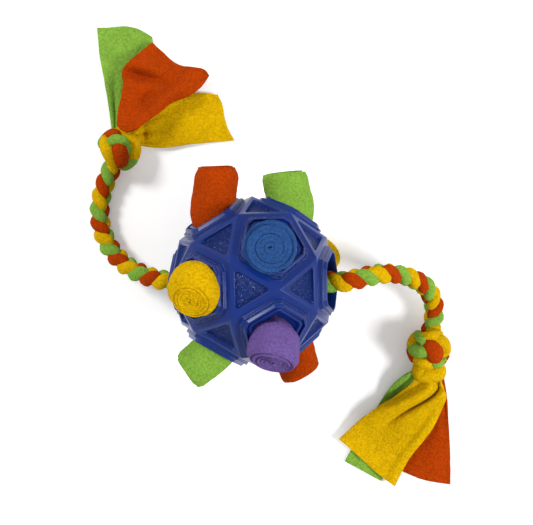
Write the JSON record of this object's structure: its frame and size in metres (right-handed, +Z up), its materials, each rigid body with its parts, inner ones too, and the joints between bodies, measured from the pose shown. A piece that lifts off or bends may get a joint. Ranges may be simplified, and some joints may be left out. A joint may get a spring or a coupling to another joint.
{
  "type": "dog snuffle ball",
  "caption": "Hollow rubber ball with ridged holes, rolled fleece strips through them, and a plaited fleece rope with a knot and loose strip ends at each side.",
  "frame": {"origin": "on the floor, under the middle of the ball with its rolls, the rope and its loose ends left out", "axes": "+Z up from the floor, +X towards the rope's higher side, +Y towards the orange and green rolls"},
  "size_m": [0.2533, 0.3251, 0.1258],
  "materials": {
    "rubber_blue": "satin moulded rubber, leather grain in the triangles",
    "fleece_blue": "brushed fleece",
    "fleece_purple": "brushed fleece",
    "fleece_yellow": "brushed fleece",
    "fleece_orange": "brushed fleece",
    "fleece_green": "brushed fleece",
    "fleece_plait": "brushed fleece, a plait of green, orange and yellow strips"
  },
  "bodies": {
    "ball": {"ball_shell": "rubber_blue"},
    "blue_strip": {"blue_roll_front": "fleece_blue", "blue_roll_back": "fleece_blue", "blue_strip_middle": "fleece_blue"},
    "purple_strip": {"purple_roll_front": "fleece_purple", "purple_roll_back": "fleece_purple", "purple_strip_middle": "fleece_purple"},
    "yellow_strip": {"yellow_roll_left": "fleece_yellow", "yellow_roll_right": "fleece_yellow", "yellow_strip_middle": "fleece_yellow"},
    "orange_strip": {"orange_roll_top": "fleece_orange", "orange_roll_bottom": "fleece_orange", "orange_strip_middle": "fleece_orange"},
    "green_strip": {"green_roll_top": "fleece_green", "green_roll_bottom": "fleece_green", "green_strip_middle": "fleece_green"},
    "rope": {"rope_core": "fleece_plait"},
    "rope_left_end": {"rope_left": "fleece_plait", "knot_left": "fleece_plait", "left_tail_green": "fleece_green", "left_tail_orange": "fleece_orange", "left_tail_yellow": "fleece_yellow"},
    "rope_right_end": {"rope_right": "fleece_plait", "knot_right": "fleece_plait", "right_tail_green": "fleece_green", "right_tail_orange": "fleece_orange", "right_tail_yellow": "fleece_yellow"}
  },
  "joints": [
    {"name": "blue_strip_slide", "type": "slide", "parent": "ball", "child": "blue_strip", "axis": [0.2375, 0.462, 0.8545], "range_m": [-0.003, 0.003]},
    {"name": "purple_strip_slide", "type": "slide", "parent": "ball", "child": "purple_strip", "axis": [0.2604, -0.5856, 0.7676], "range_m": [-0.003, 0.003]},
    {"name": "yellow_strip_slide", "type": "slide", "parent": "ball", "child": "yellow_strip", "axis": [0.6594, 0.0764, -0.7479], "range_m": [-0.003, 0.003]},
    {"name": "orange_strip_slide", "type": "slide", "parent": "ball", "child": "orange_strip", "axis": [0.5211, -0.8239, -0.2227], "range_m": [-0.003, 0.003]},
    {"name": "green_strip_slide", "type": "slide", "parent": "ball", "child": "green_strip", "axis": [0.4841, 0.8712, -0.0822], "range_m": [-0.003, 0.003]},
    {"name": "rope_slide", "type": "slide", "parent": "ball", "child": "rope", "axis": [0.967, 0, 0.2546], "range_m": [-0.006, 0.006]},
    {"name": "rope_left_swing", "type": "hinge", "parent": "rope", "child": "rope_left_end", "pos_m": [-0.05162, -0.00245, 0.05081], "axis": [0, 0, 1], "range_deg": [-15, 15]},
    {"name": "rope_right_swing", "type": "hinge", "parent": "rope", "child": "rope_right_end", "pos_m": [0.04856, -0.00245, 0.07719], "axis": [0, 0, 1], "range_deg": [-15, 15]}
  ]
}
